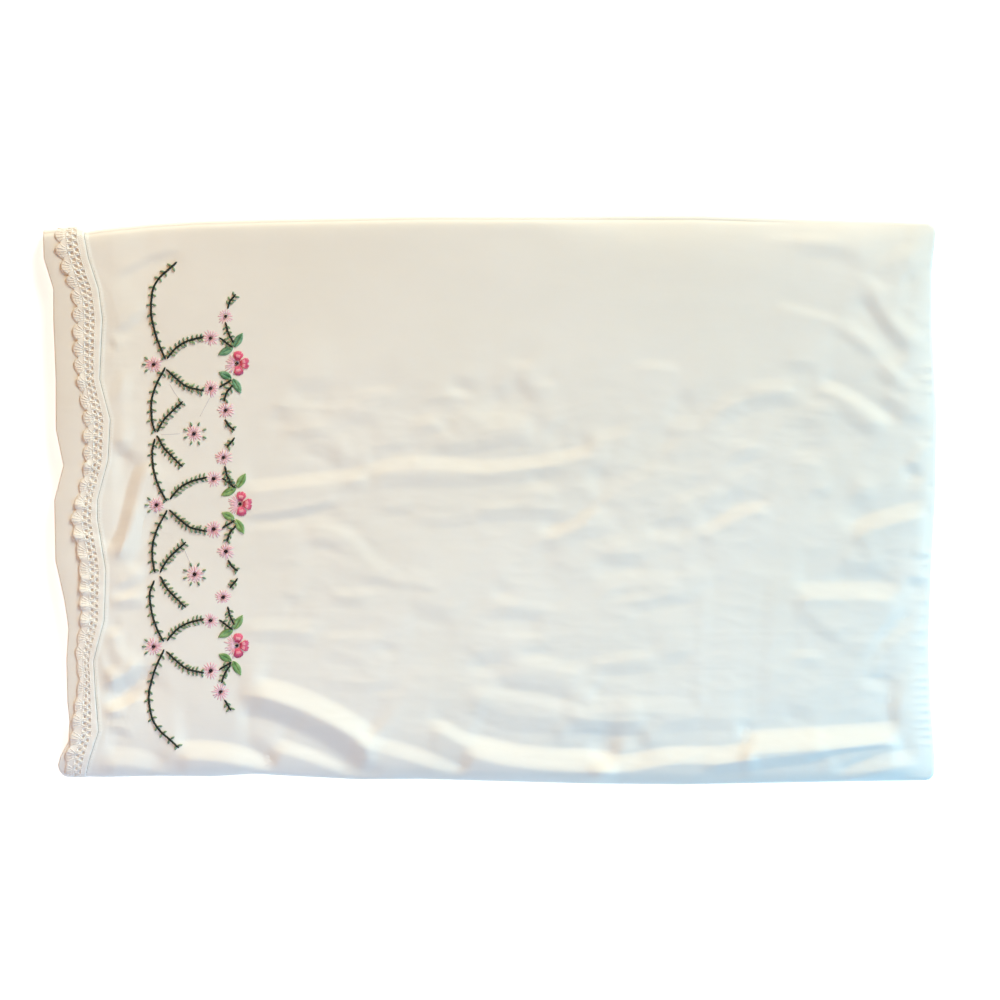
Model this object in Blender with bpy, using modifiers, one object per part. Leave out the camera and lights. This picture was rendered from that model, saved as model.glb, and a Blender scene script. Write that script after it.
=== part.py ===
"""Pillowcase with a crocheted edging round its mouth, lying flat and face up.

Metres, +Z up.  X runs along the case: the open mouth is at -X, the sewn end at +X.
Y runs across it: the folded side is at +Y, the sewn side at -Y.  The floor is z = 0.
"""

from collections import namedtuple

import bpy
import numpy as np

MM = 0.001

# ---------------------------------------------------------------- driving sizes
CASE_LENGTH = 0.8000          # mouth to sewn end, measured along the middle
CLOTH = 0.0010                # thickness of each layer
EDGE_ROLL = 0.0021            # outer radius of the fold and of the turned seams
CORNER = 0.0085               # radius of the two corners at the sewn end, seen from above
LOFT = 0.0072                 # rise of the upper layer over its edges
LOFT_AT_SIDES = 0.0130        # how far in from a side that rise is mostly reached
LOFT_AT_END = 0.0150          # the same, from the sewn end

EDGING = 0.0010               # thickness of the crocheted edging
EDGING_CLEAR = 0.0004         # gap between the edging and the cloth it is sewn on
MOUTH_LIFT = 0.00142          # the lower layer passes over the edging here
LIFT_START = -0.3380          # where the lower layer is fully lifted
LIFT_END = -0.3080            # where it is back on the floor
SCALLOPS = 33                 # shells across one face of the mouth
SCALLOP_DEPTH = 0.0042        # tip to notch
STEPS_A_SCALLOP = 4

COLUMN_PITCH = 0.0195         # spacing of the surface's stations along X
ROW_PITCH = 0.0152            # and along Y

Outline = namedtuple("Outline", "at_mm edge_mm")
Fold = namedtuple("Fold", "name rise_mm half_width_mm path_mm")
Curl = namedtuple("Curl", "y_mm rise_mm half_width_mm")

# The four sides of the case seen from above.  The folded side: Y at X.
FOLDED_SIDE = [
    Outline(-401, 243.0),
    Outline(-372, 245.0),
    Outline(-361, 242.0),
    Outline(-346, 244.2),
    Outline(-306, 248.6),
    Outline(-263, 251.3),
    Outline(-198, 253.1),
    Outline(-63, 255.8),
    Outline(188, 255.8),
    Outline(320, 251.7),
    Outline(355, 250.8),
    Outline(401, 248.6),
]
# The sewn side: Y at X.
SEWN_SIDE = [
    Outline(-401, -247.6),
    Outline(-363, -248.6),
    Outline(-346, -249.0),
    Outline(-298, -248.1),
    Outline(-252, -248.6),
    Outline(-212, -246.3),
    Outline(-171, -248.6),
    Outline(-117, -251.3),
    Outline(-63, -250.8),
    Outline(0, -252.6),
    Outline(87, -254.9),
    Outline(170, -255.8),
    Outline(266, -253.9),
    Outline(401, -251.7),
]
# The mouth: X at Y.
MOUTH = [
    Outline(-250, -381.6),
    Outline(-243, -386.5),
    Outline(-238, -387.9),
    Outline(-229, -385.2),
    Outline(-216, -378.0),
    Outline(-198, -377.1),
    Outline(-180, -378.9),
    Outline(-144, -379.8),
    Outline(-115, -378.0),
    Outline(-90, -381.6),
    Outline(-54, -389.7),
    Outline(0, -390.6),
    Outline(31, -382.5),
    Outline(63, -389.3),
    Outline(108, -389.3),
    Outline(162, -391.5),
    Outline(189, -391.5),
    Outline(216, -400.0),
    Outline(247, -401.0),
]
# The sewn end: X at Y.
SEWN_END = [
    Outline(-252, 399.1),
    Outline(-229, 399.1),
    Outline(-180, 395.5),
    Outline(-126, 393.8),
    Outline(-54, 396.4),
    Outline(5, 400.0),
    Outline(76, 401.0),
    Outline(153, 396.9),
    Outline(207, 396.9),
    Outline(240, 400.4),
]
# The line where the edging is sewn on: X at Y.
EDGING_LINE = [
    Outline(-250, -364.0),
    Outline(-234, -360.0),
    Outline(-207, -351.0),
    Outline(-171, -354.0),
    Outline(-144, -355.5),
    Outline(-108, -346.0),
    Outline(-63, -344.5),
    Outline(-18, -352.0),
    Outline(0, -352.0),
    Outline(36, -342.5),
    Outline(72, -340.5),
    Outline(108, -350.0),
    Outline(162, -347.5),
    Outline(189, -351.0),
    Outline(216, -360.0),
    Outline(247, -366.0),
]
# The tips of its scallops: X at Y.
SCALLOP_TIPS = [
    Outline(-250, -382.0),
    Outline(-229, -381.5),
    Outline(-216, -377.0),
    Outline(-198, -375.0),
    Outline(-162, -369.0),
    Outline(-135, -372.0),
    Outline(-108, -367.5),
    Outline(-54, -369.0),
    Outline(-18, -376.0),
    Outline(27, -365.0),
    Outline(72, -365.0),
    Outline(126, -374.0),
    Outline(180, -375.0),
    Outline(225, -390.5),
    Outline(247, -390.5),
]

# Ridges (rise above 0) and troughs of the upper layer, each along its own path.
FOLDS = [
    Fold("long middle ridge", 3.0, 12, [(-211, 8), (-115, 22), (-19, 35), (50, 38), (125, 62)]),
    Fold("trough under it", -2.0, 11, [(-221, -20), (-137, -8), (-41, -18), (66, -13)]),
    Fold("rising ridge", 2.8, 11, [(50, -31), (93, -13), (146, 35), (210, 86), (279, 104)]),
    Fold("second rising ridge", 1.6, 10, [(155, -2), (200, 16), (248, 38)]),
    Fold("third rising ridge", 2.2, 10, [(140, -32), (194, -29), (248, -8)]),
    Fold("corner arc ridge", 3.0, 11, [(266, 175), (321, 164), (349, 140), (376, 107), (393, 104)]),
    Fold("corner arc trough", -2.3, 10, [(335, 182), (357, 160), (388, 128)]),
    Fold("end ridge", 2.8, 13, [(300, 106), (330, 92), (361, 72)]),
    Fold("end trough", -2.0, 11, [(352, 94), (376, 80), (390, 66)]),
    Fold("dimple at the end", -1.6, 9, [(372, 206), (381, 196)]),
    Fold("first seam ridge", 1.8, 9, [(325, -24), (352, -20), (379, -8)]),
    Fold("hollow below it", -1.8, 12, [(320, -58), (360, -55), (390, -68)]),
    Fold("second seam ridge", 2.4, 11, [(275, -76), (320, -84), (368, -82)]),
    Fold("slanting trough", -2.4, 10, [(373, -108), (345, -142), (390, -170), (372, -196)]),
    Fold("left trough", -2.2, 9, [(-309, 60), (-313, 15), (-321, -8), (-337, -47)]),
    Fold("left ridge", 1.8, 9, [(-300, 40), (-306, -5), (-316, -30)]),
    Fold("upper left trough", -1.2, 8, [(-322, 140), (-333, 112), (-341, 86)]),
    Fold("upper left crease", -1.2, 9, [(-340, 200), (-306, 216), (-280, 226)]),
    Fold("lower left trough", -1.5, 8, [(-305, -66), (-325, -74), (-343, -79)]),
    Fold("lower left ridge", 1.4, 8, [(-300, -80), (-342, -90)]),
    Fold("corner trough", -2.0, 9, [(-308, -160), (-325, -168), (-350, -171)]),
    Fold("corner ridge", 1.7, 9, [(-303, -176), (-345, -186)]),
    Fold("long slanting ridge", 3.2, 13, [(-220, -146), (-185, -172), (-123, -214), (-80, -238)]),
    Fold("long slanting trough", -2.3, 12, [(-235, -186), (-190, -196), (-140, -225), (-90, -243)]),
    Fold("hem corner ridge", 1.7, 10, [(-352, -214), (-320, -226), (-300, -244)]),
    Fold("edge ridge one", 1.9, 10, [(-231, -216), (-215, -230), (-190, -245)]),
    Fold("edge ridge two", 1.9, 11, [(-100, -200), (-60, -214), (-26, -243)]),
    Fold("lower middle ridge", 2.4, 12, [(-35, -163), (45, -180), (100, -186), (180, -176)]),
    Fold("lower middle trough", -2.0, 12, [(-50, -180), (45, -202), (115, -208), (160, -222)]),
    Fold("lower right ridge", 2.8, 14, [(120, -228), (211, -205), (354, -208)]),
    Fold("lower right trough", -2.2, 12, [(190, -248), (238, -236), (279, -229), (343, -222)]),
    Fold("middle swell", 1.6, 20, [(-110, -66), (0, -62), (130, -72)]),
    Fold("hollow under the swell", -1.6, 14, [(-190, -92), (-100, -98), (-40, -110), (40, -103)]),
    Fold("shallow ridge", 1.2, 12, [(-230, -112), (-120, -126), (0, -140)]),
    Fold("upper swell", 1.2, 18, [(-190, 92), (-60, 78), (60, 92)]),
    Fold("upper hollow", -1.1, 14, [(-60, 120), (0, 108), (40, 96)]),
    Fold("cross ridge", 1.2, 13, [(196, -50), (190, -110), (184, -160)]),
]

# Where the edging lifts off the cloth in ruffles, on the upper layer.
CURLS = [
    Curl(-42, 1.6, 6),
    Curl(-13, 1.4, 5),
    Curl(-62, 1.5, 5),
    Curl(-83, 1.8, 6),
    Curl(-103, 1.6, 6),
    Curl(-200, 1.3, 7),
    Curl(52, 0.9, 7),
    Curl(140, 0.8, 8),
    Curl(200, 0.9, 9),
]


# ---------------------------------------------------------------- outline
def along(table, at):
    """The edge's value at these positions, from its table."""
    stations = np.array([row.at_mm for row in table]) * MM
    values = np.array([row.edge_mm for row in table]) * MM
    return np.interp(at, stations, values)


def stations(low, high, pitch, fine_low, fine_high):
    """Positions from low to high: fine ones at each end, even ones between them."""
    first = low + fine_low[-1]
    last = high - fine_high[-1]
    count = int(round((last - first) / pitch))
    middle = np.linspace(first, last, count + 1)[1:-1]
    return np.concatenate([low + np.array(fine_low), middle, high - np.array(fine_high[::-1])])


ROLL_STEPS = [0.0, EDGE_ROLL * 0.293, EDGE_ROLL]
END_STEPS = ROLL_STEPS + [0.0052, CORNER, 0.0165]
MOUTH_STEPS = [0.0, 0.009, 0.018, 0.027, 0.037, 0.047, 0.058, 0.070, 0.083]
SIDE_STEPS = ROLL_STEPS + [0.0052, CORNER, 0.0165]


def plan(across, up):
    """X and Y in plan of the un-rounded case: across is 0 at the mouth and 1 at the end."""
    x = (across - 0.5) * CASE_LENGTH
    y = np.zeros_like(x + up)
    for _ in range(4):
        low = along(SEWN_SIDE, x)
        y = low + (along(FOLDED_SIDE, x) - low) * up
        start = along(MOUTH, y)
        x = start + (along(SEWN_END, y) - start) * across
    return x, y


def from_sides(x, y):
    """Distances from the sewn end, the folded side and the sewn side."""
    end = np.maximum(along(SEWN_END, y) - x, 0.0)
    folded = np.maximum(along(FOLDED_SIDE, x) - y, 0.0)
    sewn = np.maximum(y - along(SEWN_SIDE, x), 0.0)
    return end, folded, sewn


def round_corner(x, y):
    """Moves the points near a corner of the sewn end onto quarter circles."""
    end, folded, sewn = from_sides(x, y)
    for side, sign in ((folded, 1.0), (sewn, -1.0)):
        p = CORNER - end
        q = CORNER - side
        inside = (p > 0) & (q > 0)
        ring = np.maximum(np.maximum(p, q), 1e-9)
        low = np.minimum(p, q) / ring
        turn = np.where(p >= q, low * np.pi / 4, np.pi / 2 - low * np.pi / 4)
        x = np.where(inside, x - p + ring * np.cos(turn), x)
        y = np.where(inside, y + sign * (ring * np.sin(turn) - q), y)
    return x, y


# ---------------------------------------------------------------- height of each layer
def path_share(x, y, path):
    """Distance from a fold's path, and how far along it the nearest point is, 0 to 1."""
    points = np.array(path, float) * MM
    lengths = np.hypot(*(points[1:] - points[:-1]).T)
    total = lengths.sum()
    nearest = np.full(x.shape, 9.0)
    share = np.zeros(x.shape)
    passed = 0.0
    for start, end, length in zip(points[:-1], points[1:], lengths):
        step = (end - start) / length
        reach = np.clip((x - start[0]) * step[0] + (y - start[1]) * step[1], 0.0, length)
        away = np.hypot(x - start[0] - reach * step[0], y - start[1] - reach * step[1])
        closer = away < nearest
        nearest = np.where(closer, away, nearest)
        share = np.where(closer, (passed + reach) / total, share)
        passed += length
    return nearest, share


def folds(x, y):
    """Height that the ridges and troughs add."""
    added = np.zeros(x.shape)
    for fold in FOLDS:
        away, share = path_share(x, y, fold.path_mm)
        taper = 0.35 + 0.65 * np.sin(np.pi * share) ** 0.6
        width = fold.half_width_mm * MM
        added += fold.rise_mm * MM * taper * np.exp(-(away / width) ** 2)
    return added


def rise(distance, reach):
    return 1.0 - np.exp(-distance / reach)


def floor_lift(x):
    """Height of the underside: it lies on the floor except over the edging."""
    return MOUTH_LIFT * np.clip((LIFT_END - x) / (LIFT_END - LIFT_START), 0.0, 1.0)


def roll(distance):
    """Half thickness of the rolled side at a distance in from it."""
    inset = np.clip(EDGE_ROLL - distance, 0.0, EDGE_ROLL)
    return np.sqrt(EDGE_ROLL**2 - inset**2)


def upper(x, y):
    """Height of the upper layer's outer face."""
    end, folded, sewn = from_sides(x, y)
    nearest = np.minimum(np.minimum(end, folded), sewn)
    body = rise(end, LOFT_AT_END) * rise(folded, LOFT_AT_SIDES) * rise(sewn, LOFT_AT_SIDES)
    waves = folds(x, y) * np.clip(nearest / 0.016, 0.0, 1.0)
    return floor_lift(x) + EDGE_ROLL + roll(nearest) + LOFT * body + waves


def lower(x, y):
    """Height of the lower layer's outer face."""
    end, folded, sewn = from_sides(x, y)
    nearest = np.minimum(np.minimum(end, folded), sewn)
    return floor_lift(x) + EDGE_ROLL - roll(nearest)


# ---------------------------------------------------------------- meshes
def make_object(name, points, faces, collection, colour):
    mesh = bpy.data.meshes.new(name)
    mesh.from_pydata([tuple(point) for point in points], [], faces)
    mesh.validate()
    obj = bpy.data.objects.new(name, mesh)
    collection.objects.link(obj)
    material = bpy.data.materials.new(name)
    material.use_nodes = True
    shader = material.node_tree.nodes["Principled BSDF"]
    shader.inputs["Base Color"].default_value = colour
    shader.inputs["Roughness"].default_value = 0.85
    mesh.materials.append(material)
    return obj


def add_thickness(obj, thickness, offset):
    solid = obj.modifiers.new("thickness", "SOLIDIFY")
    solid.thickness = thickness
    solid.offset = offset
    solid.use_even_offset = True
    return solid


def grid_faces(index):
    """Quads of a grid of point numbers."""
    corners = zip(
        index[:-1, :-1].ravel(), index[1:, :-1].ravel(), index[1:, 1:].ravel(), index[:-1, 1:].ravel()
    )
    return [tuple(int(corner) for corner in quad) for quad in corners]


def build_case(collection):
    """One cloth tube, closed at its sewn end, thickened inwards."""
    columns = stations(-CASE_LENGTH / 2, CASE_LENGTH / 2, COLUMN_PITCH, MOUTH_STEPS, END_STEPS)
    rows = stations(0.0, 0.5, ROW_PITCH, SIDE_STEPS, SIDE_STEPS)
    across, up = np.meshgrid(columns / CASE_LENGTH + 0.5, rows / rows[-1], indexing="ij")
    x, y = plan(across, up)
    top = upper(x, y)
    bottom = lower(x, y)
    x, y = round_corner(x, y)
    shared = np.zeros(x.shape, bool)
    shared[-1, :] = True
    shared[:, 0] = True
    shared[:, -1] = True
    above = np.arange(x.size).reshape(x.shape)
    below = np.where(shared, above, -1)
    own = ~shared
    below[own] = x.size + np.arange(own.sum())
    points = np.concatenate([
        np.column_stack([x.ravel(), y.ravel(), top.ravel()]),
        np.column_stack([x[own], y[own], bottom[own]]),
    ])
    faces = grid_faces(above) + [quad[::-1] for quad in grid_faces(below)]
    case = make_object("case", points, faces, collection, (0.88, 0.85, 0.80, 1.0))
    add_thickness(case, CLOTH, -1.0)
    flat = case.modifiers.new("merge flat cloth", "DECIMATE")
    flat.decimate_type = "DISSOLVE"
    flat.angle_limit = 0.0008
    return case


def mouth_stations(count):
    """Places across the mouth, 0 at the sewn side and 1 at the folded one."""
    width = along(FOLDED_SIDE, -0.36) - along(SEWN_SIDE, -0.36)
    ends = np.array(ROLL_STEPS) / width
    inner = np.linspace(ends[-1], 1.0 - ends[-1], count + 1)
    return np.concatenate([ends[:-1], inner, 1.0 - ends[:-1][::-1]])


def build_edging(collection):
    """One band of crochet round the mouth, on the outside, scallops towards the mouth."""
    across = mouth_stations(SCALLOPS * STEPS_A_SCALLOP)
    # From the heading, where it is sewn on, to the tips.
    widths = np.array([0.0, 0.34, 0.70, 1.0])
    loops = []
    for side in ("upper", "lower"):
        places = across if side == "upper" else across[::-1][1:-1]
        share, reach = np.meshgrid(places, widths, indexing="ij")
        y = -0.249 + 0.493 * share
        for _ in range(3):
            heading = along(EDGING_LINE, y)
            wave = np.abs(np.sin(np.pi * SCALLOPS * share)) ** 0.7
            tip = along(SCALLOP_TIPS, y) + SCALLOP_DEPTH * (1.0 - wave)
            x = heading + (tip - heading) * reach
            low = along(SEWN_SIDE, x)
            y = low + (along(FOLDED_SIDE, x) - low) * share
        z = upper(x, y) if side == "upper" else lower(x, y)
        if side == "upper":
            for curl in CURLS:
                bump = np.exp(-(((y - curl.y_mm * MM) / (curl.half_width_mm * MM)) ** 2))
                z = z + curl.rise_mm * MM * bump * reach**1.5
        loops.append(np.stack([x, y, z], axis=-1))
    band = np.concatenate(loops)
    # Each point moves out from the cloth it lies on by the gap.
    around = np.roll(band, -1, axis=0) - np.roll(band, 1, axis=0)
    over = np.gradient(band, axis=1)
    outward = np.cross(around, over)
    outward /= np.linalg.norm(outward, axis=-1, keepdims=True)
    if outward[len(across) // 2, 1, 2] < 0:
        outward = -outward
    band = band + outward * EDGING_CLEAR
    index = np.arange(band.shape[0] * band.shape[1]).reshape(band.shape[:2])
    index = np.concatenate([index, index[:1]])
    points = band.reshape(-1, 3)
    faces = grid_faces(index)
    if np.cross(band[1, 0] - band[0, 0], band[0, 1] - band[0, 0]) @ outward[0, 0] < 0:
        faces = [quad[::-1] for quad in faces]
    edging = make_object("edging", points, faces, collection, (0.90, 0.87, 0.82, 1.0))
    add_thickness(edging, EDGING, 1.0)
    return edging


def main():
    for old in list(bpy.data.objects):
        bpy.data.objects.remove(old)
    collection = bpy.data.collections.new("pillowcase")
    bpy.context.scene.collection.children.link(collection)
    build_case(collection)
    build_edging(collection)


main()
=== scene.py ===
"""Pillowcase with a crocheted edging and an embroidered vine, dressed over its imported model.

Metres, +Z up.  The open mouth is at -X, the sewn end at +X, the folded side at +Y,
the sewn side at -Y, and the floor is z = 0.
"""

import math
import random

import bpy
import numpy as np
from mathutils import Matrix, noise


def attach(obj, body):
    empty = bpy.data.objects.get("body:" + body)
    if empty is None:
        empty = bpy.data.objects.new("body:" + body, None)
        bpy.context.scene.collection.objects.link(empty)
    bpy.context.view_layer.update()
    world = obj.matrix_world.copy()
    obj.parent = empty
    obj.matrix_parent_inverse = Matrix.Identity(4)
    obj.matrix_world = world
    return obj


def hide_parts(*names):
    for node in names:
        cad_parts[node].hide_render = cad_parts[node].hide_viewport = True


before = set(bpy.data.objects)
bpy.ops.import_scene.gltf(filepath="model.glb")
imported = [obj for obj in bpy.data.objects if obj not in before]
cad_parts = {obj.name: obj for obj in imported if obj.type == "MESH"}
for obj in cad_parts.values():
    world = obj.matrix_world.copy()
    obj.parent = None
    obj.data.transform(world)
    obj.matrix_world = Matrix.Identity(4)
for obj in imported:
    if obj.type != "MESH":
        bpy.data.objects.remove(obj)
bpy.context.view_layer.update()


# ---------------------------------------------------------------- the case
# One length of fine white cotton, folded along its upper side, sewn down its lower side
# and across its right end, then turned.  Its mouth is hemmed.  It lies flat and empty,
# and the creases of its use and washing are in the upper layer.
MM = 0.001
CASE_LENGTH = 0.8000  # mouth to sewn end, along the middle
LAYER = 0.0006  # thickness of the cotton
HEM_RISE = 0.0005  # what the turned hem adds over the mouth
HEM_REACH = 0.0034  # its sewn edge lies this far in from the edging's heading
EDGE_ROLL = 0.0021  # outer radius of the fold and of the turned seams
CORNER = 0.0085  # radius of the two corners at the sewn end
LOFT = 0.0072  # rise of the upper layer over its edges
LOFT_AT_SIDES = 0.0130  # how far in from a side that rise is mostly reached
LOFT_AT_END = 0.0150  # the same, from the sewn end
LOFT_AT_FOLD = 0.0034  # and from the left part of the folded side
FOLD_FULLER_FROM = 0.03  # along the case, where that side starts to swell
FOLD_FULLER_OVER = 0.13
MOUTH_DROOP = 0.0012  # how far the upper layer sinks at the mouth
DROOP_OVER = 0.010  # how far in that is mostly over
MOUTH_LIFT = 0.00142  # the lower layer passes over the edging here
LIFT_START = -0.3380  # where the lower layer is fully lifted
LIFT_END = -0.3080  # where it is back on the floor
FOLD_GROOVE = 0.0046  # a pressed line runs this far in from the folded side
GROOVE_DEPTH = 0.0007
GROOVE_HALF = 0.0011  # half its width
GROOVE_TO = 0.285  # it fades out here, along the case
HEM_STEP = 0.0016  # width of the step down from the hem
SEAM_EDGE = 0.003  # the hem and the gathers start from nothing over this, from a side
CALM_BORDER = 0.008  # the creases die out this near a side

# The four sides of the case from above, in mm.  The folded and the sewn side: X, Y.
FOLDED_SIDE = [
    (-401, 243.0), (-372, 245.0), (-361, 242.0), (-346, 244.2),
    (-306, 248.6), (-263, 251.3), (-198, 253.1), (-63, 255.8),
    (188, 255.8), (320, 251.7), (355, 250.8), (401, 248.6),
]
SEWN_SIDE = [
    (-401, -247.6), (-363, -248.6), (-346, -249.0), (-298, -248.1),
    (-252, -248.6), (-212, -246.3), (-171, -248.6), (-117, -251.3),
    (-63, -250.8), (0, -252.6), (87, -254.9), (170, -255.8),
    (266, -253.9), (401, -251.7),
]
# The mouth and the sewn end: Y, X.
MOUTH = [
    (-250, -381.6), (-243, -386.5), (-238, -387.9), (-229, -385.2),
    (-216, -378.0), (-198, -377.1), (-180, -378.9), (-144, -379.8),
    (-115, -378.0), (-90, -381.6), (-54, -389.7), (0, -390.6),
    (31, -382.5), (63, -389.3), (108, -389.3), (162, -391.5),
    (189, -391.5), (216, -400.0), (247, -401.0),
]
SEWN_END = [
    (-252, 399.1), (-229, 399.1), (-180, 395.5), (-126, 393.8),
    (-54, 396.4), (5, 400.0), (76, 401.0), (153, 396.9),
    (207, 396.9), (240, 400.4),
]
# The line where the edging is sewn on: Y, X.
EDGING_LINE = [
    (-250, -364.0), (-234, -360.0), (-207, -351.0), (-171, -354.0),
    (-144, -355.5), (-108, -346.0), (-63, -344.5), (-18, -352.0),
    (0, -352.0), (36, -342.5), (72, -340.5), (108, -350.0),
    (162, -347.5), (189, -351.0), (216, -360.0), (247, -366.0),
]

# Creases of the upper layer: the width and the path of each, in mm.  Each is a sloping
# strip.  From the left of its path to the right the cloth rises by its steepness times its
# width, or falls if the width is below zero.  On both sides it comes back to the level slowly.
FOLDS = []


def press_folds(steepness, *creases):
    """Adds creases of one steepness."""
    for width, *path in creases:
        FOLDS.append((steepness * width, abs(width), path))


# The deepest, beside the edging and along the bottom.
press_folds(
    0.3,
    (13, (-341, -52), (-332, -34), (-315, 24), (-307, 40)),
    (-15, (-349, -173), (-336, -168), (-324, -161), (-306, -143)),
    (11, (-350, -187), (-334, -183), (-308, -170)),
    (19, (-285, -225), (-260, -224), (-233, -227), (-213, -234), (-195, -246)),
    (22, (-25, -216), (0, -224), (119, -236)),
    (17, (85, -235), (129, -235), (152, -230), (210, -228), (241, -223)),
    (22, (219, -218), (371, -208)),
)
# The others beside the edging.
press_folds(
    0.17,
    (-8, (-338, 197), (-305, 215), (-276, 224)), (-11, (-342, 151), (-330, 153), (-305, 175)),
    (-8, (-341, 148), (-334, 132)), (-17, (-342, 46), (-317, 46)),
    (-16, (-331, -63), (-320, -40), (-308, 0)), (-11, (-342, -82), (-322, -75), (-306, -59)),
    (10, (-343, -89), (-328, -85), (-310, -78)), (-11, (-343, -96), (-303, -92)),
    (12, (-348, -119), (-326, -116)), (11, (-349, -153), (-328, -151)),
    (-8, (-348, -195), (-322, -191)), (-9, (-348, -206), (-333, -207), (-317, -213)),
    (19, (-351, -228), (-309, -234), (-294, -243)),
)
# The others along the bottom.
press_folds(
    0.22,
    (13, (-199, -216), (-139, -238), (-124, -247)),
    (-21, (-229, -184), (-204, -186), (-179, -195), (-127, -222), (-106, -238)),
    (19, (-215, -165), (-188, -171), (-139, -191), (-101, -216)),
    (15, (-124, -211), (-41, -239), (-20, -250)), (-13, (-124, -234), (-111, -238), (-95, -234)),
    (13, (-59, -202), (-43, -203), (-27, -212), (-9, -219)), (-11, (187, -244), (305, -229)),
    (16, (306, -252), (360, -233), (386, -230)), (-6, (282, -231), (322, -224), (363, -218)),
)
# The softest of these two places.
press_folds(
    0.08,
    (13, (-339, 87), (-328, 122)), (-14, (-331, 79), (-320, 118)),
    (-14, (-299, -218), (-292, -228), (-285, -246)), (-15, (-219, -208), (-199, -230), (-192, -245)),
    (13, (80, -224), (98, -222), (132, -215)), (-13, (128, -204), (141, -219), (153, -224)),
    (-10, (305, -244), (348, -224)),
)
# The clearest of the middle and of the sewn end.
press_folds(
    0.165,
    (-15, (62, -200), (134, -204), (144, -202)), (-10, (-224, -19), (-161, -9), (-133, -1)),
    (13, (-224, 11), (-106, 25)), (14, (-115, 25), (-92, 31), (8, 31), (82, 43), (96, 48)),
    (12, (42, -33), (76, -21), (100, -1)),
    (13, (182, -30), (201, -23), (219, -13), (234, -7), (255, -7)),
    (-14, (332, 190), (354, 156), (379, 128)), (14, (290, 106), (313, 98), (365, 64)),
    (-13, (368, 32), (391, 25)), (17, (317, -33), (332, -24), (375, -10), (395, -5)),
    (18, (268, -81), (371, -82)), (-13, (368, -70), (395, -75)),
)
# Lower middle.
press_folds(
    0.08,
    (-17, (-25, -181), (-8, -191), (13, -199), (40, -202), (67, -202)),
    (-17, (49, -213), (67, -215), (89, -212), (107, -206)),
    (12, (-25, -168), (62, -184), (82, -190), (94, -197)), (16, (84, -184), (129, -182), (192, -186)),
    (-13, (147, -209), (162, -204), (225, -201)), (-9, (212, -197), (241, -201)),
    (-15, (259, -184), (300, -197)), (-17, (0, -163), (53, -166), (80, -174)),
    (10, (-27, -152), (13, -157)), (13, (19, -141), (44, -144), (64, -149), (87, -149)),
    (-15, (-23, -145), (11, -140), (28, -145)), (-8, (22, -139), (59, -130)),
    (-12, (85, -152), (138, -150), (153, -147)), (-13, (144, -145), (186, -140)),
    (-10, (85, -166), (105, -166)), (9, (85, -145), (156, -134)), (13, (7, -123), (49, -123)),
    (-13, (-11, -104), (35, -102), (55, -106)), (11, (-2, -88), (13, -89), (30, -93)),
    (-11, (-5, -76), (25, -77)), (9, (105, -87), (127, -87), (150, -84)),
    (-13, (120, -99), (165, -89), (192, -86)), (15, (89, -74), (147, -69), (178, -72)),
    (-13, (87, -49), (105, -53), (144, -52)), (13, (98, -39), (130, -33)),
)
# Left of the middle.
press_folds(
    0.075,
    (14, (-228, -112), (-179, -111), (-154, -114)), (-14, (-224, -122), (-178, -124), (-151, -128)),
    (9, (-157, -120), (-94, -121)), (-13, (-154, -136), (-106, -150)), (-10, (-110, -127), (-74, -134)),
    (10, (-104, -137), (-93, -140), (-85, -145)), (-11, (-157, -165), (-108, -168), (-83, -165)),
    (9, (-110, -175), (-76, -171)), (-10, (-148, -90), (-106, -94)), (10, (-148, -82), (-97, -82)),
    (-9, (-121, -74), (-103, -72), (-85, -77), (-68, -78), (-45, -82)), (-19, (-76, -95), (-23, -109)),
    (13, (-94, -63), (-81, -69), (-68, -71)),
    (13, (-170, -21), (-144, -21), (-127, -30), (-99, -58), (-85, -69)),
    (-12, (-169, -34), (-126, -46)), (13, (-220, -24), (-199, -22), (-160, -24)),
    (-12, (-188, -89), (-178, -89), (-167, -92)),
)
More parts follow.
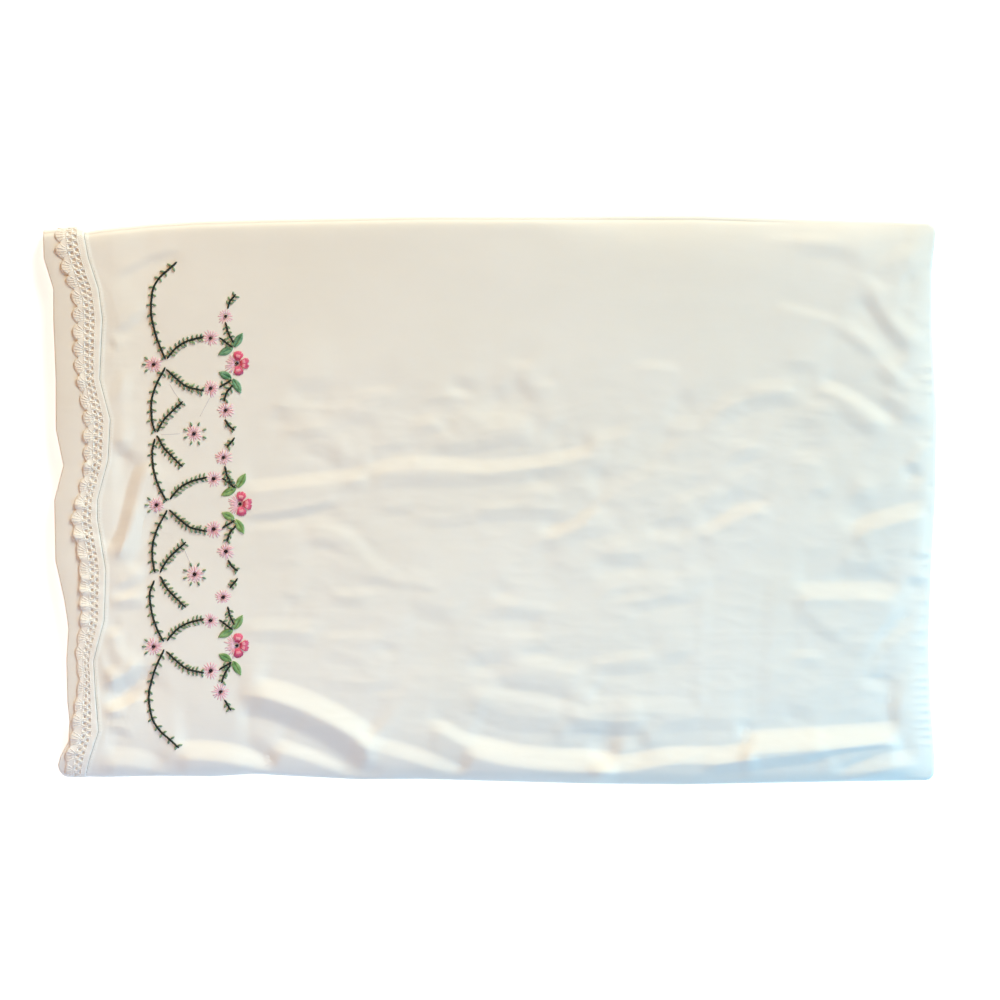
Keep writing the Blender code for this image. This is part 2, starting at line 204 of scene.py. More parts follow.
# The long ridge in the middle, and above it.
press_folds(
    0.075,
    (-11, (-104, -11), (-85, -10), (-65, -6)), (-11, (-74, -19), (-27, -19), (-5, -14)),
    (-13, (-18, -14), (35, -13), (69, -16)), (9, (-18, -4), (31, -4)),
    (11, (28, 13), (49, 10), (68, 4)), (-13, (-108, 14), (-76, 17), (-36, 16), (-5, 18), (71, 28)),
    (-21, (82, 29), (110, 30)), (12, (-76, 38), (-70, 40), (-59, 38)),
    (13, (84, 54), (116, 62), (130, 67)), (-12, (-136, 11), (-117, 11), (-99, 7)),
    (-15, (-170, 47), (-151, 44), (-135, 35), (-117, 29)), (11, (-145, 54), (-133, 55), (-121, 53)),
    (-12, (-188, 55), (-139, 63)), (-15, (-203, 81), (-187, 78), (-172, 72)),
    (15, (-172, 81), (-157, 71), (-139, 68)), (9, (-178, 86), (-130, 86), (-113, 89)),
    (11, (-124, 91), (-106, 97), (-76, 97)), (-15, (-185, 102), (-138, 105)),
    (-15, (-136, 72), (-94, 72)), (-9, (-106, 42), (-70, 52)), (10, (-77, 67), (-61, 72), (-40, 74)),
    (-10, (-70, 59), (-40, 65)), (7, (-51, 59), (-27, 60)),
    (-13, (-59, 46), (-32, 45), (17, 53), (41, 53)), (-9, (-65, 85), (-41, 89), (-22, 90)),
    (11, (-47, 98), (-11, 92)), (-13, (-40, 112), (-4, 98)), (12, (-38, 81), (-4, 80)),
    (24, (-18, 72), (41, 77)), (-13, (17, 113), (48, 85)), (-15, (-4, 100), (21, 93)),
    (11, (10, 122), (46, 122)), (10, (39, 107), (62, 103)), (-15, (41, 61), (73, 68)),
    (11, (123, 121), (147, 122), (177, 117)), (-15, (161, 100), (175, 94), (189, 85)),
    (15, (152, 68), (191, 70)), (13, (178, 60), (192, 72), (205, 87), (225, 96)),
    (13, (223, 101), (246, 104), (279, 102)), (-15, (201, 67), (223, 81), (250, 88), (277, 91)),
    (-12, (257, 70), (302, 68)), (13, (275, 86), (290, 86), (314, 82)),
    (-14, (259, 118), (279, 119), (300, 115)),
)
# Ridges that rise towards the right.
press_folds(
    0.065,
    (13, (93, -4), (107, 9), (121, 18), (141, 27), (155, 41)), (11, (147, 38), (159, 48), (173, 55)),
    (-12, (64, -35), (114, -24)), (-12, (31, -47), (64, -37)), (-13, (137, -19), (182, -21)),
    (11, (153, -4), (211, 16)), (11, (207, 16), (223, 26), (243, 30)),
    (-13, (182, -11), (201, -6), (232, 14)), (11, (130, -27), (171, -34), (187, -30)),
    (-11, (147, -40), (159, -42), (173, -40)), (12, (207, 43), (225, 52), (248, 54)),
    (-13, (214, 38), (234, 41), (252, 40)), (14, (264, 39), (286, 38), (305, 35)),
    (15, (320, 25), (354, 13)),
)
# Along the sewn end.
press_folds(
    0.09,
    (-15, (268, 224), (317, 220), (339, 209)), (8, (241, 236), (317, 235)),
    (-19, (365, 206), (388, 203)), (13, (348, 209), (373, 225), (386, 220)),
    (11, (327, 201), (343, 196), (359, 182)), (12, (356, 173), (368, 160), (397, 137)),
    (7, (365, 174), (395, 173)), (9, (252, 177), (318, 160)),
    (15, (313, 161), (329, 152), (343, 141), (356, 129)), (12, (348, 136), (373, 107), (391, 99)),
    (-12, (297, 154), (317, 148), (332, 137), (347, 123)), (-16, (341, 123), (354, 110), (370, 97)),
    (10, (354, 98), (368, 91), (382, 99)), (-14, (309, 82), (350, 55)),
    (-17, (343, 91), (359, 84), (375, 73), (393, 64)), (13, (379, 48), (399, 51)),
    (13, (363, 14), (397, 15)), (-17, (318, 0), (348, -4)), (-12, (282, 3), (311, 8)),
    (-17, (305, -56), (322, -63), (338, -64), (359, -59)), (-13, (277, -100), (290, -112), (317, -130)),
    (-12, (332, -150), (339, -136), (375, -91)), (13, (348, -139), (359, -125), (386, -100)),
    (-15, (332, -152), (348, -154), (365, -150)), (12, (323, -162), (363, -170)),
    (15, (354, -199), (377, -145)), (-12, (268, -145), (302, -148)), (10, (263, -138), (304, -138)),
    (-10, (371, -50), (397, -50)),
)
# Two soft folds from side to side, where the case had been folded up.
press_folds(
    0.04,
    (-11, (192, -192), (193, -125), (198, -58)), (13, (246, -197), (246, -134), (251, -67)),
)
# Short gathers that the stitching draws up, in mm: the place of each (Y along the sewn end,
# X along the sewn side), its rise, its width and how far in it reaches.
END_PUCKERS = [
    (177, 0.5, 2.6, 9), (160, 0.5, 3, 10), (147, 0.6, 2.4, 9), (134, 0.5, 2.6, 8),
    (119, 0.8, 3, 10), (108, 0.7, 2.6, 12), (97, 0.6, 2.2, 9), (57, 0.7, 4, 12),
    (48, 0.5, 3, 9), (12, -0.7, 2.4, 9), (-5, 0.4, 2.6, 8), (-48, 0.8, 2.6, 10),
    (-57, 0.6, 2.4, 9), (-70, 0.6, 2.6, 12), (-90, 0.7, 2.6, 12),
    (-103, 0.5, 2.6, 9), (-117, 0.8, 2.6, 12), (-131, 0.7, 2.6, 12),
    (-146, 0.5, 2.4, 9), (196, 0.4, 2.6, 8), (214, 0.5, 3, 9),
]
# Near the lower corner they stand close together, in threes.
for first in (-160, -182, -204):
    END_PUCKERS += [(first, 0.7, 2, 11), (first - 7, 0.9, 2, 9), (first - 15, 0.6, 2, 12)]
SIDE_PUCKERS = [
    (-298, 0.7, 5, 10), (-205, 0.8, 6, 12), (-129, 0.7, 6, 10), (-25, 0.7, 6, 10),
    (98, 0.6, 4, 8), (324, 0.5, 2.5, 7), (332, 0.5, 2.5, 7), (340, 0.5, 2.5, 7),
    (350, 0.5, 2.5, 8),
]

# Spacing of the upper layer's points: across the case up to 0.13 m from its sewn side,
# where its sharpest folds are, up to 0.375 m, and up to its nominal width; then along it.
CASE_WIDTH = 0.500
ROW_ZONES = [(0.130, 0.00125), (0.375, 0.00165), (CASE_WIDTH, 0.0030)]
COLUMN_PITCH = 0.0034
ROLL_STEPS = [0.0, EDGE_ROLL * 0.293, EDGE_ROLL]
END_STEPS = ROLL_STEPS + [0.0038, 0.0055, CORNER, 0.0108]
FOLD_STEPS = ROLL_STEPS + [0.0032, 0.0040, FOLD_GROOVE, 0.0052, 0.0062, CORNER, 0.0106]
SEWN_STEPS = ROLL_STEPS + [0.0038, 0.0055, CORNER, 0.0106]
MOUTH_STEPS = [0.0, 0.0006, 0.0016, 0.0030, 0.0050, 0.0075]
HEM_LINE_FROM = 0.026  # the columns stand closer here, where the hem's edge runs
HEM_LINE_TO = 0.064
HEM_PITCH = 0.0013


def along(table, at):
    """The edge's value at these positions, from its table."""
    places, values = np.array(table).T * MM
    return np.interp(at, places, values)


def stations(low, high, pitch, fine_low, fine_high):
    """Positions from low to high: fine ones at each end, even ones between them."""
    first = low + fine_low[-1]
    last = high - fine_high[-1]
    middle = np.linspace(first, last, int(round((last - first) / pitch)) + 1)[1:-1]
    return np.concatenate([low + np.array(fine_low), middle, high - np.array(fine_high[::-1])])


def plan(across, up):
    """X and Y before the corners are rounded: across is 0 at the mouth, 1 at the sewn end."""
    x = (across - 0.5) * CASE_LENGTH
    y = np.zeros_like(x + up)
    for _ in range(4):
        low = along(SEWN_SIDE, x)
        y = low + (along(FOLDED_SIDE, x) - low) * up
        start = along(MOUTH, y)
        x = start + (along(SEWN_END, y) - start) * across
    return x, y


def from_sides(x, y):
    """Distances from the sewn end, the folded side and the sewn side."""
    end = np.maximum(along(SEWN_END, y) - x, 0.0)
    folded = np.maximum(along(FOLDED_SIDE, x) - y, 0.0)
    sewn = np.maximum(y - along(SEWN_SIDE, x), 0.0)
    return end, folded, sewn


def round_corner(x, y):
    """Moves the points near a corner of the sewn end onto quarter circles."""
    end, folded, sewn = from_sides(x, y)
    for side, sign in ((folded, 1.0), (sewn, -1.0)):
        p = CORNER - end
        q = CORNER - side
        inside = (p > 0) & (q > 0)
        ring = np.maximum(np.maximum(p, q), 1e-9)
        low = np.minimum(p, q) / ring
        turn = np.where(p >= q, low * np.pi / 4, np.pi / 2 - low * np.pi / 4)
        x = np.where(inside, x - p + ring * np.cos(turn), x)
        y = np.where(inside, y + sign * (ring * np.sin(turn) - q), y)
    return x, y


def run_length(points):
    """How far along the line through these points each of them lies."""
    return np.concatenate([[0.0], np.cumsum(np.linalg.norm(np.diff(points, axis=0), axis=1))])


def smooth_line(points, steps=5):
    """A smooth curve through a few points."""
    knots = np.array(points, float)
    if len(knots) < 3:
        return knots
    length = run_length(knots)
    slope = np.gradient(knots, length, axis=0)
    at = np.linspace(0.0, length[-1], (len(knots) - 1) * steps + 1)
    k = np.clip(np.searchsorted(length, at, side="right") - 1, 0, len(knots) - 2)
    span = (length[k + 1] - length[k])[:, None]
    s = (at - length[k])[:, None] / span
    start = (1 + 2 * s) * (1 - s) ** 2 * knots[k] + s * (1 - s) ** 2 * span * slope[k]
    return start + s**2 * (3 - 2 * s) * knots[k + 1] + s**2 * (s - 1) * span * slope[k + 1]


def beside(x, y, line):
    """Distance from a line, how far along it that is, whether it is to the left, and its length."""
    nearest = np.full(x.shape, 9.0)
    reached = np.zeros(x.shape)
    left = np.zeros(x.shape, bool)
    passed = 0.0
    for start, end in zip(line[:-1], line[1:]):
        length = np.linalg.norm(end - start)
        step = (end - start) / length
        dx, dy = x - start[0], y - start[1]
        reach = np.clip(dx * step[0] + dy * step[1], 0.0, length)
        away = np.hypot(dx - reach * step[0], dy - reach * step[1])
        closer = away < nearest
        nearest = np.where(closer, away, nearest)
        reached = np.where(closer, passed + reach, reached)
        left = np.where(closer, step[0] * dy - step[1] * dx > 0, left)
        passed += length
    return nearest, reached, left, passed


FOLD_LINES = [(rise_mm, width_mm, smooth_line(path) * MM) for rise_mm, width_mm, path in FOLDS]
FOLD_END = 0.016  # length over which a fold grows from its end
FOLD_FADE = 0.004  # least reach over which it comes back to the level


def soft_step(value):
    """A share that grows softly from 0 to 1 while the value does."""
    value = np.clip(value, 0.0, 1.0)
    return value * value * (3.0 - 2.0 * value)


def fold_height(x, y):
    """Height that the folds add."""
    added = np.zeros(x.shape)
    for rise_mm, width_mm, line in FOLD_LINES:
        half = width_mm * MM / 2
        fade = 2 * half + FOLD_FADE
        low, high = line.min(axis=0) - half - 3 * fade, line.max(axis=0) + half + 3 * fade
        near = (x > low[0]) & (x < high[0]) & (y > low[1]) & (y < high[1])
        if not near.any():
            continue
        away, reached, left, length = beside(x[near], y[near], line)
        over = np.clip(away / half, 0.0, 1.0)
        side = over * (0.625 - 0.125 * over**4) * np.exp(-np.maximum(away - half, 0.0) / fade)
        ends = soft_step(np.minimum(reached, length - reached) / min(FOLD_END, length / 2))
        added[near] += rise_mm * MM * ends * np.where(left, -side, side)
    return added


def pucker_height(table, at, inward):
    """Height that the gathers of one seam add, this far along it and in from it."""
    added = np.zeros(at.shape)
    for place, height, width, reach in table:
        across = np.exp(-(((at - place * MM) / (width * MM)) ** 2))
        inwards = np.clip(inward / SEAM_EDGE, 0.0, 1.0) * np.exp(-((inward / (reach * MM)) ** 2))
        added += height * MM * across * inwards
    return added


def rise(distance, reach):
    """A share that grows from 0 at a side, mostly over this reach."""
    return 1.0 - np.exp(-distance / reach)


def floor_lift(x):
    """Height of the underside: it lies on the floor except over the edging."""
    return MOUTH_LIFT * np.clip((LIFT_END - x) / (LIFT_END - LIFT_START), 0.0, 1.0)


def roll(distance):
    """Half thickness of the rolled side at a distance in from it."""
    inset = np.clip(EDGE_ROLL - distance, 0.0, EDGE_ROLL)
    return np.sqrt(EDGE_ROLL**2 - inset**2)


def upper(x, y):
    """Height of the upper layer's outer face."""
    x, y = np.broadcast_arrays(np.asarray(x, float), np.asarray(y, float))
    end, folded, sewn = from_sides(x, y)
    nearest = np.minimum(np.minimum(end, folded), sewn)
    fuller = soft_step((x - FOLD_FULLER_FROM) / FOLD_FULLER_OVER)
    at_fold = LOFT_AT_FOLD + (LOFT_AT_SIDES - LOFT_AT_FOLD) * fuller
    body = rise(end, LOFT_AT_END) * rise(folded, at_fold) * rise(sewn, LOFT_AT_SIDES)
    from_mouth = np.maximum(x - along(MOUTH, y), 0.0)
    body_height = LOFT * body - MOUTH_DROOP * np.exp(-from_mouth / DROOP_OVER) * rise(nearest, 0.02)
    groove = -GROOVE_DEPTH * np.exp(-(((folded - FOLD_GROOVE) / GROOVE_HALF) ** 2))
    groove = groove * soft_step((GROOVE_TO - x) / 0.06)
    hem = HEM_RISE * soft_step((along(EDGING_LINE, y) + HEM_REACH - x) / HEM_STEP)
    waves = fold_height(x, y) * np.clip(nearest / CALM_BORDER, 0.0, 1.0)
    gathers = pucker_height(END_PUCKERS, y, end) + pucker_height(SIDE_PUCKERS, x, sewn)
    extra = (groove + hem * np.clip(nearest / SEAM_EDGE, 0.0, 1.0)) + waves + gathers
    return floor_lift(x) + EDGE_ROLL + roll(nearest) + body_height + extra


def lower(x, y):
    """Height of the lower layer's outer face."""
    x, y = np.broadcast_arrays(np.asarray(x, float), np.asarray(y, float))
    end, folded, sewn = from_sides(x, y)
    nearest = np.minimum(np.minimum(end, folded), sewn)
    return floor_lift(x) + EDGE_ROLL - roll(nearest)


SLOW = 0.00034  # height of the widest unevenness of the lying cotton
QUICK = 0.00012  # and of the next
CRUMPLE = 0.00065  # height of the faint crumple over the middle and the right
CRUMPLE_LEFT = -0.235  # it starts here along the case
CRUMPLE_TOP = 0.125  # and stays below this


def slow_wrinkles(x, y):
    """Unevenness of the lying cotton, longer along the case than across it."""
    crumpled = soft_step((x - CRUMPLE_LEFT) / 0.08) * soft_step((CRUMPLE_TOP - y) / 0.05)
    height = []
    for px, py, share in zip(x.ravel(), y.ravel(), crumpled.ravel()):
        slow = SLOW * noise.noise((px * 9.0, py * 26.0, 0.3))
        slow += QUICK * noise.noise((px * 34.0, py * 70.0, 4.1))
        crest = math.hypot(noise.noise((px * 15.0 + py * 6.0, py * 38.0 - px * 5.0, 7.7)), 0.05)
        small = math.hypot(noise.noise((px * 40.0 - py * 14.0, py * 82.0 + px * 12.0, 2.2)), 0.05)
        height.append(slow - share * CRUMPLE * (crest + 0.50 * small))
    return np.array(height).reshape(x.shape)


def cells(index, columns, rows, full=()):
    """Faces between columns and rows of a grid of points.  A side in full keeps every point."""
    faces = []
    for c0, c1 in zip(columns[:-1], columns[1:]):
        for r0, r1 in zip(rows[:-1], rows[1:]):
            ring = [index[c0, r0]]
            if "sewn" in full and r0 == rows[0]:
                ring.extend(index[c0 + 1:c1, r0])
            ring.append(index[c1, r0])
            if "end" in full and c1 == columns[-1]:
                ring.extend(index[c1, r0 + 1:r1])
            ring.append(index[c1, r1])
            if "folded" in full and r1 == rows[-1]:
                ring.extend(index[c0 + 1:c1, r1][::-1])
            ring.append(index[c0, r1])
            if "mouth" in full and c0 == columns[0]:
                ring.extend(index[c0, r0 + 1:r1][::-1])
            faces.append([int(point) for point in ring])
    return faces


def make_piece(name, points, faces, material):
    """A smooth mesh object of these points and faces, without the points that no face uses."""
    used = np.zeros(len(points), bool)
    used[np.concatenate([np.asarray(face).ravel() for face in faces])] = True
    renumber = np.cumsum(used) - 1
    mesh = bpy.data.meshes.new(name)
    kept_faces = [renumber[np.asarray(face)].tolist() for face in faces]
    mesh.from_pydata(np.asarray(points)[used].tolist(), [], kept_faces)
    mesh.polygons.foreach_set("use_smooth", [True] * len(mesh.polygons))
    mesh.materials.append(material)
    piece = bpy.data.objects.new(name, mesh)
    bpy.context.scene.collection.objects.link(piece)
    return piece


def outward(points, faces):
    """The direction straight out of the surface at each point."""
    mesh = bpy.data.meshes.new("trial surface")
    mesh.from_pydata(points.tolist(), [], faces)
    directions = np.empty(len(points) * 3, np.float32)
    mesh.vertex_normals.foreach_get("vector", directions)
    bpy.data.meshes.remove(mesh)
    return directions.reshape(-1, 3).astype(float)


def add_node(tree, kind, values, *feeds):
    """A shader node with these values, fed through these pairs of a socket's name and its source."""
    node = tree.nodes.new("ShaderNode" + kind)
    for socket, value in values.items():
        node.inputs[socket].default_value = value
    for socket, source in feeds:
        tree.links.new(source, node.inputs[socket])
    return node


def new_material(name, colour, roughness, sheen):
    """A material with its node tree and Principled shader."""
    material = bpy.data.materials.new(name)
    material.use_nodes = True
    tree = material.node_tree
    shader = tree.nodes["Principled BSDF"]
    shader.inputs["Base Color"].default_value = (*colour, 1.0)
    shader.inputs["Roughness"].default_value = roughness
    shader.inputs["Sheen Weight"].default_value = sheen
    shader.inputs["Sheen Roughness"].default_value = 0.45
    return material, tree, shader


def object_place(tree):
    """Places on the object, for its textures."""
    return tree.nodes.new("ShaderNodeTexCoord").outputs["Object"]


def tones(tree, shader, place, scale, first, second):
    """Uneven colour: two near tones mixed by a soft noise."""
    patches = add_node(tree, "TexNoise", {"Scale": scale, "Detail": 4.0}, ("Vector", place))
    ramp = add_node(tree, "ValToRGB", {}, ("Fac", patches.outputs["Fac"]))
    for element, position, colour in zip(ramp.color_ramp.elements, (0.35, 0.65), (first, second)):
        element.position = position
        element.color = (*colour, 1.0)
    tree.links.new(ramp.outputs["Color"], shader.inputs["Base Color"])


def threads_along(tree, place, direction, pitch, distortion):
    """Even waves for threads of this pitch."""
    values = {"Scale": 2 * math.pi / (20 * pitch), "Distortion": distortion}
    threads = add_node(tree, "TexWave", values, ("Vector", place))
    threads.bands_direction = direction
    return threads.outputs["Fac"]


WEAVE_PITCH = 0.00045  # one thread of the cotton
COTTON_WARM = (0.800, 0.775, 0.715)
COTTON_PALE = (0.820, 0.800, 0.750)


def cotton_material():
    """Plain-woven cotton: fine crossing threads, soft press wrinkles, a little sheen."""
    material, tree, shader = new_material("fine_cotton", COTTON_WARM, 0.82, 0.10)
    place = object_place(tree)
    tones(tree, shader, place, 7.0, COTTON_WARM, COTTON_PALE)
    warp, weft = [threads_along(tree, place, way, WEAVE_PITCH, 0.6) for way in ("X", "Y")]
    crossing = add_node(tree, "Math", {}, (0, warp), (1, weft))
    crossing.operation = "MULTIPLY"
    relief = {"Strength": 0.35, "Distance": 0.00010}
    weave = add_node(tree, "Bump", relief, ("Height", crossing.outputs["Value"]))
    stretch = add_node(tree, "Mapping", {"Scale": (0.45, 1.0, 1.0)}, ("Vector", place))
    grain = {"Scale": 75.0, "Detail": 5.0, "Roughness": 0.55}
    press = add_node(tree, "TexNoise", grain, ("Vector", stretch.outputs["Vector"]))
    relief = {"Strength": 0.30, "Distance": 0.0009}
    feeds = [("Height", press.outputs["Fac"]), ("Normal", weave.outputs["Normal"])]
    wrinkles = add_node(tree, "Bump", relief, *feeds)
    tree.links.new(wrinkles.outputs["Normal"], shader.inputs["Normal"])
    return material


def make_case():
    """The upper and the lower layer, joined round three sides, with an inner face all over."""
    close = np.arange(HEM_LINE_FROM, HEM_LINE_TO, HEM_PITCH)
    first = stations(0.0, CASE_LENGTH, COLUMN_PITCH, MOUTH_STEPS, END_STEPS)
    elsewhere = first[(first < HEM_LINE_FROM) | (first > HEM_LINE_TO)]
    columns = np.sort(np.concatenate([elsewhere, close]))
    rows, low, steps = [], 0.0, SEWN_STEPS
    for high, pitch in ROW_ZONES:
        rows.append(stations(low, high, pitch, steps, FOLD_STEPS if high == CASE_WIDTH else [0.0])[:-1])
        low, steps = high, [0.0]
    rows = np.append(np.concatenate(rows), low)
    across, up = np.meshgrid(columns / CASE_LENGTH, rows / rows[-1], indexing="ij")
    x, y = plan(across, up)
    inside = np.clip(np.minimum.reduce(from_sides(x, y)) / 0.02, 0.0, 1.0)
    top = upper(x, y) + slow_wrinkles(x, y) * inside
    top[0] -= LAYER / 2
    bottom = lower(x, y)
    bottom[0] += LAYER / 2
    x, y = round_corner(x, y)
    above = np.arange(x.size).reshape(x.shape)
    below = above + x.size
    below[-1, :], below[:, 0], below[:, -1] = above[-1, :], above[:, 0], above[:, -1]
    points = np.concatenate([
        np.column_stack([x.ravel(), y.ravel(), top.ravel()]),
        np.column_stack([x.ravel(), y.ravel(), bottom.ravel()]),
    ])
    every_column, every_row = list(range(len(columns))), list(range(len(rows)))
    few_columns = [0, 1, 2] + list(range(4, len(columns) - 5, 4)) + every_column[-4:]
    few_rows = [0, 1, 2, 3] + list(range(5, len(rows) - 5, 3)) + every_row[-4:]
    outer = cells(above, every_column, every_row)
    outer += [face[::-1] for face in cells(below, few_columns, few_rows, ("sewn", "end", "folded"))]
    inner = points - outward(points, outer) * LAYER
    # Each layer's inner face meets its outer one in the edge of the hem.
    inner_above, inner_below = above + len(points), below + len(points)
    inner_above[0], inner_below[0] = above[0], below[0]
    outer += [face[::-1] for face in cells(inner_above, few_columns, few_rows, ("mouth",))]
    outer += cells(inner_below, few_columns, few_rows)
    return make_piece("case_cotton", np.concatenate([points, inner]), outer, cotton_material())


case = make_case()
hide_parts("case")
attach(case, "root")


# ---------------------------------------------------------------- the hem's sewing
# The cotton is turned in once at the mouth, and a row of small running stitches in the
# same white holds the turned edge, just inside the line where the edging starts.
HEM_SEWN_FROM = -0.2445
HEM_SEWN_TO = 0.2395
HEM_STITCH_PITCH = 0.0031
HEM_STITCH = 0.0017  # length of one stitch
HEM_THREAD = 0.00020  # its radius
HEM_MARGIN = 0.0012  # from the stitches to the hem's edge
TWIST_PITCH = 0.0007  # from one ply of a thread to the next


def strands(paths, radii, sides=5):
    """Points and faces of round threads, one for each path of equally many points."""
    paths = np.asarray(paths, float)
    radii = np.broadcast_to(np.asarray(radii, float), paths.shape[:2])
    ahead = np.gradient(paths, axis=1)
    ahead /= np.linalg.norm(ahead, axis=2, keepdims=True) + 1e-12
    side = np.cross(ahead, [0.0, 0.02, 1.0])
    side /= np.linalg.norm(side, axis=2, keepdims=True) + 1e-12
    upright = np.cross(side, ahead)
    turn = (np.arange(sides) + 0.5) * 2 * np.pi / sides
    ring = side[:, :, None] * np.cos(turn)[:, None] + upright[:, :, None] * np.sin(turn)[:, None]
    points = paths[:, :, None] + ring * radii[:, :, None, None]
    count, steps = paths.shape[:2]
    index = np.arange(count * steps * sides).reshape(count, steps, sides)
    onward = np.roll(index, -1, axis=2)
    quads = np.stack([index[:, :-1], index[:, 1:], onward[:, 1:], onward[:, :-1]], axis=-1)
    faces = quads.reshape(-1, 4).tolist()
    faces += index[:, 0].tolist() + index[:, -1, ::-1].tolist()
    return points.reshape(-1, 3), faces


def join(parts):
    """One set of points and faces from several."""
    points, faces, start = [], [], 0
    for some_points, some_faces in parts:
        points.append(some_points)
        faces += [[point + start for point in face] for face in some_faces]
        start += len(some_points)
    return np.concatenate(points), faces


def thread_material(name, first, second, roughness=0.6, sheen=0.2):
    """Cotton thread: two near tones of its dye, and the fine ribs of its twist."""
    material, tree, shader = new_material(name, first, roughness, sheen)
    place = object_place(tree)
    tones(tree, shader, place, 160.0, first, second)
    plies = threads_along(tree, place, "DIAGONAL", TWIST_PITCH, 2.0)
    ribs = add_node(tree, "Bump", {"Strength": 0.4, "Distance": 0.00012}, ("Height", plies))
    tree.links.new(ribs.outputs["Normal"], shader.inputs["Normal"])
    return material


def dress(piece):
    """Every piece moves with the one body."""
    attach(piece, "root")
    return piece


def sew(name, paths, radii, material, sides=5):
    """One dressed piece of all these threads."""
    points, faces = strands(paths, radii, sides)
    return dress(make_piece(name, points, faces, material))


def hem_stitches():
    """Running stitches on both layers."""
    paths = []
    for face, sign in ((upper, 1.0), (lower, -1.0)):
        for y in np.arange(HEM_SEWN_FROM, HEM_SEWN_TO, HEM_STITCH_PITCH):
            run = y + np.linspace(-0.5, 0.5, 4) * HEM_STITCH
            x = along(EDGING_LINE, run) + HEM_REACH - HEM_MARGIN
            arch = np.array([-0.5, 0.75, 0.75, -0.5]) * HEM_THREAD * sign
            paths.append(np.column_stack([x, run, face(x, run) + arch]))
    return paths


hem_thread = thread_material("hem_thread", (0.76, 0.73, 0.67), (0.82, 0.79, 0.74))
sew("hem_stitches", hem_stitches(), HEM_THREAD, hem_thread, 4)


# ---------------------------------------------------------------- the crocheted edging
# A band of white crochet cotton sewn all round the mouth, over the hem: a close heading,
# two rows of small eyelets that stand in turn, and a row of shells with rounded tips.
# It has gone limp with washing, so its lower half lies in little ruffles.
EDGING_CLEAR = 0.00028  # it stands this far off the cloth
EDGING = 0.0003  # thickness of the close crochet between the relief stitches
SHELLS = 66  # round the whole mouth
SHELL_FOOT = 0.60  # where they start, from the heading, 0, to the tips, 1
EYELETS = 168  # in each of the two rows
EYELET_ROWS = (0.32, 0.50)  # where the rows run, counted as for the shells
EYELET = 0.00118  # half the width of one
SCALLOP = 0.27  # notch between two shells, as a share of the band's width
SCALLOP_ROUND = 0.55  # below 1 the shells are blunt and the notches sharp
BAND = 0.025  # usual width of the band
LIMP = 0.45  # what is left of the scallops and the relief in the lower half
LIMP_BELOW = -0.04  # fully limp below this,
CRISP_OVER = 0.1  # and crisp again this much further up

# The tips of the shells, in mm: Y, X.
SCALLOP_TIPS = [
    (-250, -382.0), (-229, -381.5), (-216, -377.0), (-198, -375.0),
    (-162, -369.0), (-135, -372.0), (-108, -367.5), (-54, -369.0),
    (-18, -376.0), (27, -365.0), (72, -365.0), (126, -374.0),
    (180, -375.0), (225, -390.5), (247, -390.5),
]
BAND_MIDDLE = -0.36  # where the band's middle lies along the case
BAND_FROM = -0.249  # it is laid out from here, across the case,
BAND_SPAN = 0.493  # over this far
BAND_AROUND = 420  # points round the mouth on each layer
BAND_ACROSS = 16  # points from the heading to the tips
RUFFLE_SLANT = 0.004  # how far a ruffle leans from the heading to the tips
# The ruffles: Y, rise and half width, in mm.
RUFFLES = [
    (-228, 1.2, 3.0), (-216, 1.2, 3.0), (-200, 1.4, 4.5), (-186, 0.8, 3.0),
    (-112, 1.6, 3.0), (-98, 2.0, 3.0), (-85, 2.3, 2.8), (-73, 1.9, 2.6),
    (-55, 1.4, 3.0), (-36, 2.2, 3.0), (-21, 1.3, 3.0), (-8, 2.0, 3.0),
    (12, 1.0, 3.5), (28, 1.9, 3.2), (52, 1.0, 4.5), (78, 0.7, 5.0),
    (104, 1.0, 5.0), (140, 0.9, 5.0), (170, 0.7, 4.0), (200, 1.0, 6.0), (222, 0.8, 4.0),
]


def edging_ground():
    """Points of the cloth under the band, round the mouth and across it, and the directions out."""
    width = along(FOLDED_SIDE, BAND_MIDDLE) - along(SEWN_SIDE, BAND_MIDDLE)
    turn = np.array([0.0, 0.0003, 0.0008, 0.0014, EDGE_ROLL]) / width
    even = np.linspace(turn[-1], 1.0 - turn[-1], BAND_AROUND)
    across = np.concatenate([turn[:-1], even, 1.0 - turn[:-1][::-1]])
    loops = []
    for face in (upper, lower):
        places = across if face is upper else across[::-1][1:-1]
        share, reach = np.meshgrid(places, np.linspace(0.0, 1.0, BAND_ACROSS), indexing="ij")
        y = BAND_FROM + BAND_SPAN * share
        for _ in range(3):
            heading = along(EDGING_LINE, y)
            x = heading + (along(SCALLOP_TIPS, y) - heading) * reach
            low = along(SEWN_SIDE, x)
            y = low + (along(FOLDED_SIDE, x) - low) * share
        z = face(x, y)
        if face is upper:
            for middle, height, half in RUFFLES:
                away = (y - middle * MM - RUFFLE_SLANT * reach) / (half * MM)
                z = z + height * MM * np.exp(-(away**2)) * reach**1.2
        loops.append(np.stack([x, y, z], axis=-1))
    ground = np.concatenate(loops)
    around = np.roll(ground, -1, axis=0) - np.roll(ground, 1, axis=0)
    out = np.cross(around, np.gradient(ground, axis=1))
    out /= np.linalg.norm(out, axis=-1, keepdims=True)
    # On the upper layer the direction out is up.
    if out[BAND_AROUND // 2, BAND_ACROSS // 2, 2] < 0:
        out = -out
    return ground, out


ground, ground_out = edging_ground()
ground = np.concatenate([ground, ground[:1]])
ground_out = np.concatenate([ground_out, ground_out[:1]])
around_mouth = run_length(ground[:, BAND_ACROSS // 2])
MOUTH_ROUND = around_mouth[-1]


